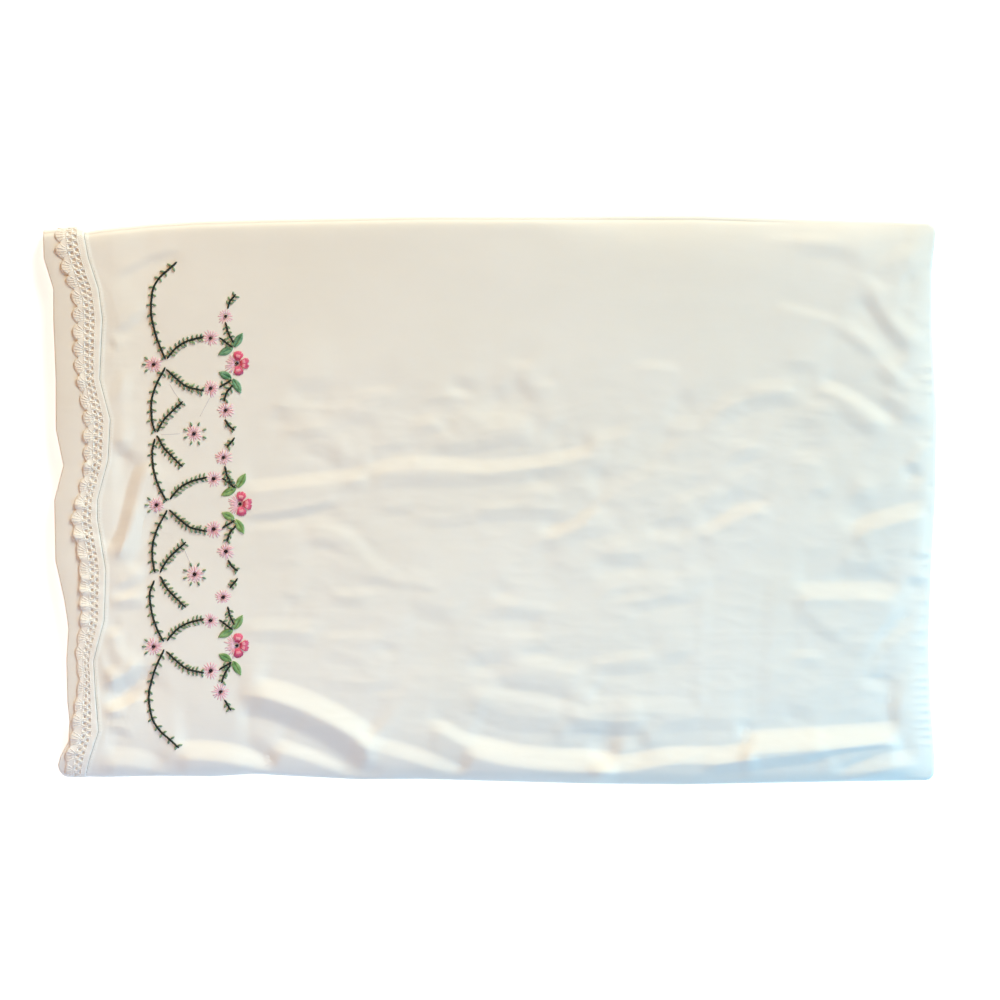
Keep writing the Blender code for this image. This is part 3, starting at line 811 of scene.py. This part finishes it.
def on_edging(u, v, up):
    """Points over the ground: u metres round the mouth, v from heading to tips, up metres out."""
    i = np.interp(np.mod(u, MOUTH_ROUND), around_mouth, np.arange(len(around_mouth)))
    j = np.clip(v, 0.0, 1.0) * (ground.shape[1] - 1)
    i0 = np.minimum(i.astype(int), len(around_mouth) - 2)
    j0 = np.minimum(j.astype(int), ground.shape[1] - 2)
    a, b = (i - i0)[..., None], (j - j0)[..., None]

    def between(grid):
        first = grid[i0, j0] * (1 - b) + grid[i0, j0 + 1] * b
        second = grid[i0 + 1, j0] * (1 - b) + grid[i0 + 1, j0 + 1] * b
        return first * (1 - a) + second * a

    out = between(ground_out)
    # The stitches under the case are pressed flatter.
    front = soft_step(out[..., 2:] * 0.5 + 0.5)
    return between(ground) + out * (EDGING_CLEAR + np.asarray(up)[..., None] * (0.45 + 0.55 * front))


def crisp(u):
    """What is left of the crochet's stiffness round the mouth: the lower half has gone limp."""
    y = np.interp(np.mod(u, MOUTH_ROUND), around_mouth, ground[:, BAND_ACROSS // 2, 1])
    return LIMP + (1.0 - LIMP) * soft_step((y - LIMP_BELOW) / CRISP_OVER)


def notch(u):
    """How far the scalloped edge is drawn in, as a share of the width, round the mouth."""
    return crisp(u) * SCALLOP * (1.0 - np.abs(np.sin(np.pi * SHELLS * u / MOUTH_ROUND)) ** SCALLOP_ROUND)


def edging_band():
    """The close crochet: a sheet with its eyelets open and its scallops cut."""
    half = [EYELET * 1.05 / BAND, 0.0, -EYELET * 1.05 / BAND]
    first, second = [[row - h for h in half] for row in EYELET_ROWS]
    tips = [SHELL_FOOT, 0.67, 0.75, 0.83, 0.92, 1.0]
    reaches = np.array([0.0, 0.07, 0.14, 0.21] + first + [0.41] + second + tips)
    step = MOUTH_ROUND / (EYELETS * 4)
    u, v = np.meshgrid(np.arange(EYELETS * 4) * step, reaches, indexing="ij")
    open_cells = np.zeros((u.shape[0], u.shape[1] - 1), bool)
    for row, line in enumerate((4, 8)):
        shift = 2 * row
        for part in (0, 1):
            open_cells[(np.arange(EYELETS) * 4 + shift + part) % u.shape[0], line:line + 2] = True
        # The points round an eyelet draw in to a circle.
        centre = (np.floor(u / (4 * step) - shift / 4 + 0.25 + 0.001) * 4 + shift + 1) * step
        du, dv = u - centre, (v - EYELET_ROWS[row]) * BAND
        near = (np.abs(du) < 1.2 * step) & (np.abs(dv) < EYELET * 1.2)
        pull = np.where(near, EYELET / np.maximum(np.hypot(du, dv), 1e-6), 1.0)
        u, v = centre + du * pull, EYELET_ROWS[row] + dv * pull / BAND
    v = v * (1.0 - notch(u) * soft_step((v - 0.55) / 0.45))
    points = on_edging(u, v, np.zeros(u.shape)).reshape(-1, 3)
    index = np.arange(u.size).reshape(u.shape)
    onward = np.roll(index, -1, axis=0)
    quads = np.stack([index[:, :-1], onward[:, :-1], onward[:, 1:], index[:, 1:]], axis=-1)
    quads = quads[~open_cells]
    middle = quads[len(quads) // 8]
    facing = np.cross(points[middle[1]] - points[middle[0]], points[middle[3]] - points[middle[0]])
    return points, (quads if facing[2] > 0 else quads[:, ::-1]).tolist()


LOW = 0.08 * MM  # how far the stitches stand in relief
HIGH = 0.24 * MM
STITCH = 0.0019  # pitch of the close rows and of the chains
CORD_TWIST = 0.0026  # from one bump to the next of the cord along the tips
CORD_POINTS = 1200  # along that cord


def crochet_stitches():
    """The stitches that stand in relief on the band."""
    parts = []
    slip = np.random.default_rng(3)

    def work(u, v, up, radii, sides=4):
        # No two stitches are quite alike.
        u = u + slip.normal(0.0, 0.16 * MM, u.shape)
        v = v + slip.normal(0.0, 0.008, u.shape)
        paths = on_edging(u, v, up * crisp(u) * slip.uniform(0.6, 1.2, (len(u), 1)))
        parts.append(strands(paths, np.asarray(radii) * MM, sides))

    count = int(MOUTH_ROUND / STITCH)
    starts = np.arange(count)[:, None] * MOUTH_ROUND / count

    def rows(reaches, reach_over, u_over, up, radii):
        # Rows of like stitches, each half a stitch on from the last.
        for row, reach in enumerate(reaches):
            u = starts + (row % 2) * 0.001 + np.array(u_over)
            work(u, reach + np.array([-reach_over, 0.0, reach_over]), np.array(up), radii)

    # The close rows of the heading, slanting, and the chains above and below the eyelets.
    rows((0.03, 0.10, 0.17), 0.035, [-0.0004, 0.0002, 0.0006], [0.0, LOW, 0.0], [0.25, 0.42, 0.25])
    rows((0.235, 0.41, 0.59), 0.012, [-0.0010, 0.0, 0.0010], [LOW, HIGH, LOW], [0.35, 0.55, 0.35])
    # Tall stitches between the eyelets.
    pitch = MOUTH_ROUND / EYELETS
    for row, reach in enumerate(EYELET_ROWS):
        posts = (np.arange(EYELETS)[:, None] + 0.75 + 0.5 * row) * pitch
        for aside in (-0.0007, 0.0007):
            u = posts + aside * np.array([0.8, 1.2, 0.8])
            v = reach + np.array([-0.075, 0.0, 0.075])
            work(u, v, np.array([LOW, HIGH, LOW]), [0.42, 0.56, 0.42])
    # Shells: tall stitches that spread from the last chain, two arcs across them, and the cord.
    shell = MOUTH_ROUND / SHELLS
    middles = (np.arange(SHELLS)[:, None] + 0.5) * shell
    for lean in np.linspace(-1.0, 1.0, 5):
        u = middles + lean * shell * np.array([0.15, 0.26, 0.36, 0.42])
        tip = 1.0 - notch(u[:, -1:]) - 0.02
        v = SHELL_FOOT + (tip - SHELL_FOOT) * np.array([0.0, 0.35, 0.72, 1.0])
        work(u, v, np.array([0.0, LOW, LOW, -0.5 * LOW]), [0.40, 0.62, 0.68, 0.30])
    for reach in (0.30, 0.62):
        u = middles + shell * (0.22 + 0.26 * reach) * np.linspace(-1.0, 1.0, 6)
        work(u, SHELL_FOOT + (1.0 - notch(u) - SHELL_FOOT) * reach, HIGH, 0.34)
    u = np.linspace(0.0, MOUTH_ROUND, CORD_POINTS)[None, :]
    bumps = np.sin(u * 2 * np.pi / CORD_TWIST)
    work(u, 1.0 - notch(u) - 0.012, 0.3 * (0.0001 * bumps), 0.26 + 0.06 * bumps, 5)
    return join(parts)


edging_cotton = thread_material("crochet_cotton", (0.83, 0.79, 0.73), (0.87, 0.84, 0.78), 0.75, 0.10)
points, faces = edging_band()
band = make_piece("edging_band", points, faces, edging_cotton)
thicken = band.modifiers.new("close crochet", "SOLIDIFY")
thicken.thickness = EDGING
thicken.offset = 1.0
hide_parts("edging")
dress(band)
points, faces = crochet_stitches()
relief = dress(make_piece("edging_stitches", points, faces, edging_cotton))


BACKSTITCH = 0.0030  # length of one stitch of the line that holds the edging
SEWING_THREAD = 0.00024  # its radius
SEWN_FROM = -0.243
SEWN_TO = 0.238


def edging_sewing():
    """A line of backstitch along the heading's edge that catches it to the hem; its grey paints the shade
    line in the corner between the heading and the cloth.
    """
    paths = []
    for y in np.arange(SEWN_FROM, SEWN_TO, BACKSTITCH):
        run = y + np.linspace(-0.52, 0.52, 4) * BACKSTITCH
        x = along(EDGING_LINE, run) + 0.0004
        height = np.array([0.10, 0.30, 0.30, 0.10]) * MM
        paths.append(np.column_stack([x, run, upper(x, run) + height]))
    return paths


# The backstitch is real, but its dark grey is painted shade for the corner between the heading's edge and
# the cloth.
sewing_grey_as_corner_shade = thread_material("sewing_thread_painted_corner_shade", (0.36, 0.33, 0.29), (0.50, 0.46, 0.41))
edging_thread = sew("edging_sewing", edging_sewing(), SEWING_THREAD, sewing_grey_as_corner_shade, 4)


# ---------------------------------------------------------------- the embroidered stems
# Near-black green stranded cotton, worked in stem stitch straight through the upper layer.
# A wavy vine runs beside the mouth.  Three times it sends out a pair of curved arms.
NODES = [(-301.6, 121.4), (-298.9, -4.5), (-301.6, -131.3)]  # where the arms leave, in mm
STEM_PITCH = 3.1  # from one stitch to the next, in mm
STEM_STITCH = 5.2  # length of a stitch
STEM_THREAD = 0.98  # its radius
STEM_SLANT = 0.22  # each stitch crosses the line from one side to the other
LOOK = 0.6  # a line's direction is taken over this much to each side, in mm

# Paths of one repeat, in mm from its node, then the ones that only the ends have.
VINE_FIRST = [
    [(10, -3.5), (3.5, -15.5), (0, -24.5), (-2, -33.5), (-2, -44), (-1, -53), (1, -59.5)],
    [(1, -67.5), (-1, -75.5), (-1, -87), (1, -98), (4.5, -109), (11, -121.5)],
]
VINE_SECOND = [
    [(9, -5.5), (0, -22.5), (-3.5, -35), (-4, -46), (-2, -59.5)],
    [(-2.5, -68.5), (-6, -78), (-5.5, -90), (-2.5, -103.5), (1, -112.5), (5.5, -121.5)],
]
VINE_TOP = [
    (20, 91), (12.5, 84.5), (5.5, 78), (0, 69), (-2, 57.5),
    (-2, 43), (1, 29.5), (3.5, 21.5), (10, 5.5),
]
VINE_FOOT = [
    (9, -3.5), (2.5, -17), (-2, -30.5), (-4.5, -43), (-3.5, -55.5),
    (0, -67.5), (6.5, -76.5), (14.5, -83.5), (21.5, -90),
]
ARMS = [
    [(12.5, 6), (20.5, 15), (29.5, 20.5), (44, 24.5)],
    [(12, -5), (20, -12.5), (29, -19.5), (44, -23.5)],
]
SHORT_STEMS = [
    [(59.5, 23.5), (70, 15.5)],
    [(59.5, -20), (69, -14.5)],
]
SPRIGS = [
    [(3.5, -59.5), (9, -50), (17, -41.5), (25.5, -34)],
    [(3.5, -64.5), (9, -74.5), (17.5, -83.5), (25, -91)],
]
COLUMN_STEMS = [
    [(70.5, -19), (65.5, -25), (63, -32)],
    [(64.5, -50), (67.5, -55), (71.5, -58.5)],
    [(72, -66.5), (66, -73.5)],
    [(64, -92), (65.5, -99), (69.5, -107)],
]
COLUMN_TOP = [
    [(66.5, 51), (68.5, 56.5), (73, 62)],
    [(64.5, 37), (66.5, 29), (71, 20)],
]
COLUMN_FOOT = [
    [(69, -16), (63.5, -24.5), (61, -31.5)],
    [(64, -48.5), (68.5, -56.5)],
]


def moved(path, node):
    """This path, given from a node, where that node is."""
    return np.array(path, float) + node


def evenly(path, pitch, first=0.0, last=0.0):
    """Places along a smooth line at about this pitch, with the direction of the line there."""
    line = smooth_line(path, 8)
    length = run_length(line)
    count = max(2, int(round((length[-1] - first - last) / pitch)) + 1)
    at = np.linspace(first, length[-1] - last, count)
    place, ahead, behind = [
        np.column_stack([np.interp(at + on, length, line[:, axis]) for axis in (0, 1)])
        for on in (0.0, LOOK, -LOOK)
    ]
    direction = ahead - behind
    return place, direction / np.linalg.norm(direction, axis=1, keepdims=True)


def on_cloth(paths, height):
    """Paths in mm, laid on the upper layer: height is in mm above it."""
    paths = np.asarray(paths, float) * MM
    z = upper(paths[..., 0], paths[..., 1]) + np.asarray(height) * MM
    return np.concatenate([paths, z[..., None]], axis=-1)


def embroider(name, paths, heights, radii, thread, sides=5):
    """One dressed piece of stitches on the upper layer, all in mm."""
    sew(name, on_cloth(paths, heights), np.array(radii) * MM, thread, sides)


def stem_stitches(paths):
    """Overlapping stitches along each path, every one a little aslant."""
    found = []
    for path in paths:
        place, direction = evenly(path, STEM_PITCH, 1.6, 1.6)
        aside = np.column_stack([-direction[:, 1], direction[:, 0]])
        for share, lean in ((-0.5, -1.0), (-0.2, -0.5), (0.2, 0.5), (0.5, 1.0)):
            found.append(place + direction * share * STEM_STITCH + aside * lean * STEM_SLANT)
    steps = [np.concatenate(found[part::4]) for part in range(4)]
    return np.stack(steps, axis=1)


vines = [moved(VINE_TOP, NODES[0]), moved(VINE_FOOT, NODES[2])]
for repeat, vine in ((0, VINE_FIRST), (1, VINE_SECOND)):
    vines += [moved(path, NODES[repeat]) for path in vine]
arms = [moved(path, node) for node in NODES for path in ARMS]
short_stems = [moved(path, node) for node in NODES for path in SHORT_STEMS]
sprigs = [moved(path, node) for node in NODES[:2] for path in SPRIGS]
column = [moved(path, node) for node in NODES[:2] for path in COLUMN_STEMS]
column += [moved(path, NODES[0]) for path in COLUMN_TOP]
column += [moved(path, NODES[2]) for path in COLUMN_FOOT]

stem_green = thread_material("stem_thread", (0.004, 0.013, 0.008), (0.008, 0.022, 0.012), 0.8, 0.0)
stitches = stem_stitches(vines + arms + short_stems + sprigs + column)
radii = np.array([0.5, 1.0, 1.0, 0.5]) * STEM_THREAD
embroider("stem_stitches", stitches, [0.05, 0.55, 0.60, 0.05], radii, stem_green)


# ---------------------------------------------------------------- the small leaf stitches
# Single straight stitches in grey-green thread, in pairs along the vine and one after
# another on both sides of the arms.  Each stands a little way off its stem.
LEAF_GAP = 1.1  # from the middle of the stem, in mm
LEAF_STITCH = 3.5
LEAF_THREAD = 1.02
hand = random.Random(5)


def ray(middle, turn, reaches):
    """Points straight out from a middle, this far from it."""
    return [(middle[0] + r * math.cos(turn), middle[1] + r * math.sin(turn)) for r in reaches]


def leaf_stitches(paths, pitch, first, slant=58.0):
    """Pairs of stitches that point along each path and away from it."""
    found = []
    for path in paths:
        place, direction = evenly(path, pitch, first, 2.0)
        for (x, y), (dx, dy) in zip(place, direction):
            for side in (-1.0, 1.0):
                turn = math.radians(slant + hand.uniform(-14, 14)) * side
                lx = dx * math.cos(turn) - dy * math.sin(turn)
                ly = dx * math.sin(turn) + dy * math.cos(turn)
                slip = hand.uniform(-0.6, 0.6)
                long = LEAF_STITCH * hand.uniform(0.8, 1.25)
                fx, fy = x + dx * slip, y + dy * slip
                ends = [LEAF_GAP, LEAF_GAP + long / 3, LEAF_GAP + 2 * long / 3, LEAF_GAP + long]
                found.append([(fx + lx * reach, fy + ly * reach) for reach in ends])
    return found


leaves = leaf_stitches(vines, 8.2, 4.0)
leaves += leaf_stitches(arms, 4.2, 3.5)
leaves += leaf_stitches(sprigs, 4.4, 3.5)
leaves += leaf_stitches(short_stems + column, 4.6, 2.5, 50.0)
MIDDLE_FLOWERS = [(37.0, -62.0), (34.0, -62.0)]
# Three at the outer side of each node's flower, and four pairs round each middle flower.
for node in NODES:
    for angle in (140.0, 180.0, 220.0):
        leaves.append(ray(node, math.radians(angle), (7.0, 8.2, 9.4, 10.6)))
for middle, node in zip(MIDDLE_FLOWERS, NODES):
    for angle in (0.0, 90.0, 180.0, 270.0):
        for spread in (-22.0, 22.0):
            turn = math.radians(angle + spread)
            leaves.append(ray(moved(middle, node), turn, (7.4, 8.6, 9.8, 11.0)))
leaf_green = thread_material("leaf_thread", (0.105, 0.190, 0.135), (0.260, 0.360, 0.185), 0.7, 0.05)
radii = np.array([0.5, 1.0, 1.0, 0.4]) * LEAF_THREAD
embroider("leaf_stitches", leaves, [0.02, 0.40, 0.40, 0.02], radii, leaf_green)


# ---------------------------------------------------------------- the pale pink flowers
# Straight stitches in one strand of pale pink, all from one centre, of uneven length.
FLOWER_RADIUS = 7.4
FLOWER_STITCHES = 16
PALE_REPEATS = [
    (0, [(0, 0), (51, 23.5), (51, -21.5), (36, -62), (64.5, -41), (62.5, -83.5), (64.5, 43)]),
    (1, [(0, 0), (51, 23.5), (51, -21.5), (34, -62), (62, -41.5), (59.5, -82.5)]),
    (2, [(0, 0), (51, 23.5), (51, -21.5), (60, -40.5)]),
]


def petals(middle, inner, outer, count, start=0.0, sweep=360.0, uneven=0.18):
    """Straight stitches that radiate from a centre."""
    found = []
    for number in range(count):
        turn = math.radians(start + sweep * (number + hand.uniform(-0.2, 0.2)) / count)
        reach = outer * (1.0 + hand.uniform(-uneven, uneven))
        found.append(ray(middle, turn, np.linspace(inner, reach, 4)))
    return found


pale_places = [moved(place, NODES[repeat]) for repeat, places in PALE_REPEATS for place in places]
pale = [stitch for middle in pale_places for stitch in petals(middle, 1.6, FLOWER_RADIUS, FLOWER_STITCHES)]
pale_pink = thread_material("pale_pink_thread", (0.800, 0.430, 0.530), (0.860, 0.600, 0.670), 0.7, 0.05)
PALE_HEIGHTS = [-0.20, -0.33, -0.33, -0.15]  # the threads sink into the cloth
PALE_RADII = [0.50, 0.80, 0.80, 0.42]
embroider("pale_petals", pale, PALE_HEIGHTS, PALE_RADII, pale_pink, 4)


# ---------------------------------------------------------------- the rose flowers
# One at the end of each pair of arms.  Three rounded petals, the middle one of two lobes,
# are worked close in deep rose with a lighter middle.  Pale pink straight stitches fan out
# towards the stems.
ROSE_PETALS = [80.0, 14.0, -18.0, -78.0]  # where the petals point, in degrees
PETAL_SPREADS = [30.0, 17.0, 17.0, 30.0]  # to each side of that
PETAL_TIP = 11.2  # from the middle of the flower, in mm

roses = [moved((74.5, 1), node) for node in NODES]
rims, middles, fans = [], [], []
for rose in roses:
    for away, spread in zip(ROSE_PETALS, PETAL_SPREADS):
        count = int(spread / 2.2)
        for number in range(count):
            lean = 2.0 * (number + 0.5) / count - 1.0
            turn = math.radians(away + spread * lean + hand.uniform(-1.0, 1.0))
            tip = PETAL_TIP * (1.0 - 0.26 * lean**4) * hand.uniform(0.95, 1.02)
            rims.append(ray(rose, turn, (2.8, 5.5, 8.4, tip)))
            if abs(lean) < 0.6:
                middles.append(ray(rose, turn, (4.6, 5.8, 7.2, 8.6)))
    fans += petals(rose, 2.0, 10.5, 13, 105.0, 160.0, 0.22)
    fans += petals(rose, 1.5, 5.0, 14, -100.0, 200.0, 0.1)
deep_rose = thread_material("deep_rose_thread", (0.560, 0.045, 0.130), (0.740, 0.130, 0.230), 0.55)
light_rose = thread_material("light_rose_thread", (0.800, 0.300, 0.380), (0.850, 0.430, 0.480), 0.55)
embroider("rose_petal_rims", rims, [0.30, 0.62, 0.55, 0.10], [0.40, 0.58, 0.62, 0.40], deep_rose)
embroider("rose_petal_middles", middles, [0.60, 1.00, 1.00, 0.60], [0.20, 0.42, 0.42, 0.20], light_rose)
embroider("rose_fans", fans, PALE_HEIGHTS, PALE_RADII, pale_pink, 4)


# ---------------------------------------------------------------- the flowers' knots
# A French knot in near-black plum at the centre of every flower: the thread goes twice
# round the needle and lies as a small coil.
KNOT_RADIUS = 1.05  # in mm
KNOT_POINTS = 17  # along the two turns
KNOT_THREAD = 0.62  # its radius


def knots(places):
    """The coil of each knot."""
    paths = []
    for x, y in places:
        size = hand.uniform(0.9, 1.15)
        turn = np.linspace(0.0, 4.0 * math.pi, KNOT_POINTS) + hand.uniform(0.0, 6.0)
        reach = KNOT_RADIUS * size * np.linspace(1.0, 0.55, KNOT_POINTS)
        paths.append(np.column_stack([x + reach * 1.25 * np.cos(turn), y + reach * np.sin(turn)]))
    return np.stack(paths)


knot_plum = thread_material("knot_thread", (0.008, 0.002, 0.004), (0.022, 0.003, 0.009), 0.8, 0.0)
knot_heights = np.linspace(0.35, 1.05, KNOT_POINTS)
embroider("flower_knots", knots(pale_places + roses), knot_heights, KNOT_THREAD, knot_plum)


# ---------------------------------------------------------------- the satin leaves
# Two pairs beside each rose flower, in slanting satin stitch from the midrib to the edge.
# The three repeats were worked in three greens.
LEAF_WIDE = 3.5  # half the width of a leaf, in mm
SATIN_STITCHES = 15  # on each side of the midrib
SATIN_LEAVES = [
    [(72, 15.5), (79.5, 28)],
    [(71, 15), (58, 8.5)],
    [(69.5, -12.5), (58.5, -7)],
    [(71, -13), (78, -25.5)],
]
SATIN_GREENS = [
    ("blue_green", (0.055, 0.200, 0.090), (0.230, 0.430, 0.250)),
    ("yellow_green", (0.120, 0.260, 0.060), (0.330, 0.500, 0.190)),
    ("mid_green", (0.085, 0.230, 0.055), (0.290, 0.460, 0.190)),
]


def satin_leaf(base, tip):
    """Slanting stitches on both sides of the midrib."""
    run = tip - base
    aside = np.array([-run[1], run[0]]) / np.linalg.norm(run)
    found = []
    for side in (-1.0, 1.0):
        for number in range(SATIN_STITCHES):
            start = number / (SATIN_STITCHES + 0.5)
            end = min(start + 0.20, 1.0)
            width = LEAF_WIDE * math.sin(math.pi * min(end, 0.985)) ** 0.75
            first, last = base + run * start, base + run * end + aside * side * width
            found.append([first + (last - first) * share for share in (0.0, 0.35, 0.7, 1.0)])
    return found


for node, (green, first, second) in zip(NODES, SATIN_GREENS):
    blades = [stitch for leaf in SATIN_LEAVES for stitch in satin_leaf(*moved(leaf, node))]
    satin = thread_material(green + "_thread", first, second, 0.5)
    radii = [0.40, 0.55, 0.55, 0.30]
    embroider("satin_leaves_" + green, blades, [0.25, 0.55, 0.50, 0.05], radii, satin)


# ---------------------------------------------------------------- the marked lines
# Faint lavender lines of the transfer that the worker followed, never stitched over and
# never quite washed out.
MARKED = [
    (0, [(50.5, -29.5), (41.5, -46.5)]),
    (0, [(6.5, -63), (23.5, -62)]),
    (1, [(24.5, -39.5), (30.5, -53)]),
    (0, [(14.5, -18), (21.5, -29), (28, -35)]),
]
INK_SUNK = -0.27  # mm: the line is a thread that only just shows above the cloth
INK_LINE = 0.33
marked = [evenly(moved(path, NODES[repeat]), 2.0)[0] for repeat, path in MARKED]
ink = new_material("transfer_ink", (0.560, 0.530, 0.560), 0.9, 0.0)[0]
points, faces = join([strands([on_cloth(line, INK_SUNK)], INK_LINE * MM) for line in marked])
dress(make_piece("marked_lines", points, faces, ink))


# ---------------------------------------------------------------- floor, light and camera
# The case lies on a plain white floor.  The light is soft: a broad one from beyond the
# folded side, a warm one above the mouth, and small ones from below left and right.
FLOOR_HALF = 6.0
FLOOR_GAP = 0.0003  # it lies this little below the cloth
CAMERA_HEIGHT = 2.499
CAMERA_X = 0.00854

floor_white, _, floor_shader = new_material("floor_white", (0.93, 0.93, 0.93), 0.9, 0.0)
floor_shader.inputs["Emission Color"].default_value = (1.0, 1.0, 1.0, 1.0)
floor_shader.inputs["Emission Strength"].default_value = 0.60
quarters = ((-1, -1), (1, -1), (1, 1), (-1, 1))
corners = [(sx * FLOOR_HALF, sy * FLOOR_HALF, -FLOOR_GAP) for sx, sy in quarters]
make_piece("floor", corners, [[0, 1, 2, 3]], floor_white)


def lamp(name, place, size, power, colour):
    """A square soft light that faces the middle of the case."""
    light = bpy.data.lights.new(name, "AREA")
    light.size = size
    light.energy = power
    light.color = colour
    holder = bpy.data.objects.new(name, light)
    holder.location = place
    x, y, z = place
    holder.rotation_euler = (math.atan2(math.hypot(x, y), z), 0.0, math.atan2(x, -y))
    bpy.context.scene.collection.objects.link(holder)


lamp("light beyond the fold", (2.9, 5.3, 2.7), 2.4, 565.0, (0.87, 0.93, 0.83))
lamp("cool light lower right", (1.05, -0.75, 0.7), 0.8, 13.5, (0.13, 0.61, 1.0))
lamp("warm light above the mouth", (-1.2, 0.1, 2.6), 1.4, 25.0, (1.0, 0.38, 0.04))
lamp("soft light lower left", (-0.6, -0.8, 1.5), 0.8, 5.0, (1.0, 0.88, 0.60))
lamp("cool light near the corner", (-0.32, -0.58, 0.40), 0.4, 1.2, (0.30, 0.56, 1.0))

world = bpy.data.worlds.new("studio")
world.use_nodes = True
sky = world.node_tree.nodes["Background"]
sky.inputs["Color"].default_value = (1.0, 1.0, 1.0, 1.0)
sky.inputs["Strength"].default_value = 0.08
bpy.context.scene.world = world
bpy.context.scene.view_settings.view_transform = "Standard"

lens = bpy.data.cameras.new("photo camera")
lens.lens = 100.0
lens.sensor_width = 36.0
camera = bpy.data.objects.new("photo camera", lens)
camera.location = (CAMERA_X, 0.0, CAMERA_HEIGHT)
bpy.context.scene.collection.objects.link(camera)
bpy.context.scene.camera = camera
